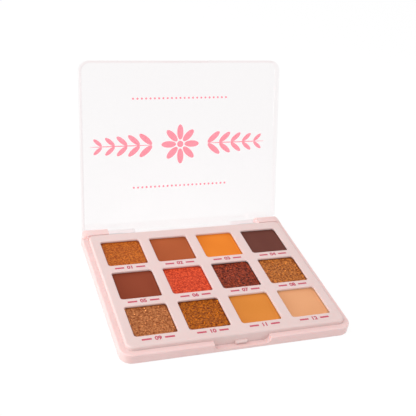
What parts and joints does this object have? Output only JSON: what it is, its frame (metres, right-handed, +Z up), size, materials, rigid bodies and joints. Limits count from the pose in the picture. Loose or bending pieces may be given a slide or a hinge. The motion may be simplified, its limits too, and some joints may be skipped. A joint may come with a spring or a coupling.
{
  "type": "eyeshadow palette",
  "caption": "Flat moulded palette of square pressed eyeshadow pans under a windowed deck, with a clear tray-shaped lid that swings back on rear hinge pins.",
  "frame": {"origin": "centre of the flat underside of the base", "axes": "+Z up from the table, -Y towards the user at the thumb recess, +X to the user's right"},
  "size_m": [0.11, 0.1262, 0.0856],
  "materials": {
    "base_pink": "satin moulded plastic, pale peach pink",
    "deck_pink": "fine matt moulded plastic, pale pink",
    "clear_lid": "clear polished plastic",
    "pan_metal": "bare pressed metal",
    "pin_steel": "drawn steel wire",
    "hot_melt": "set hot-melt glue",
    "powder_01": "pressed powder, golden orange shimmer",
    "powder_02": "pressed powder, matte terracotta",
    "powder_03": "pressed powder, matte orange",
    "powder_04": "pressed powder, matte dark chocolate",
    "powder_05": "pressed powder, matte red-brown",
    "powder_06": "pressed powder, coral-red shimmer",
    "powder_07": "pressed powder, burgundy glitter",
    "powder_08": "pressed powder, bronze-gold glitter",
    "powder_09": "pressed powder, rose-gold glitter",
    "powder_10": "pressed powder, dark-gold coarse glitter",
    "powder_11": "pressed powder, matte mustard-tan",
    "powder_12": "pressed powder, matte peach nude"
  },
  "bodies": {
    "base": {"base_shell": "base_pink", "deck_insert": "deck_pink", "glue_dots": "hot_melt", "pan_01": "pan_metal", "pan_02": "pan_metal", "pan_03": "pan_metal", "pan_04": "pan_metal", "pan_05": "pan_metal", "pan_06": "pan_metal", "pan_07": "pan_metal", "pan_08": "pan_metal", "pan_09": "pan_metal", "pan_10": "pan_metal", "pan_11": "pan_metal", "pan_12": "pan_metal", "powder_01": "powder_01", "powder_02": "powder_02", "powder_03": "powder_03", "powder_04": "powder_04", "powder_05": "powder_05", "powder_06": "powder_06", "powder_07": "powder_07", "powder_08": "powder_08", "powder_09": "powder_09", "powder_10": "powder_10", "powder_11": "powder_11", "powder_12": "powder_12", "hinge_pin_left": "pin_steel", "hinge_pin_right": "pin_steel"},
    "lid": {"lid": "clear_lid"}
  },
  "joints": [
    {"name": "lid_hinge", "type": "hinge", "parent": "base", "child": "lid", "pos_m": [0, 0.0426, 0.0036], "axis": [1, 0, 0], "range_deg": [0, 111]}
  ]
}
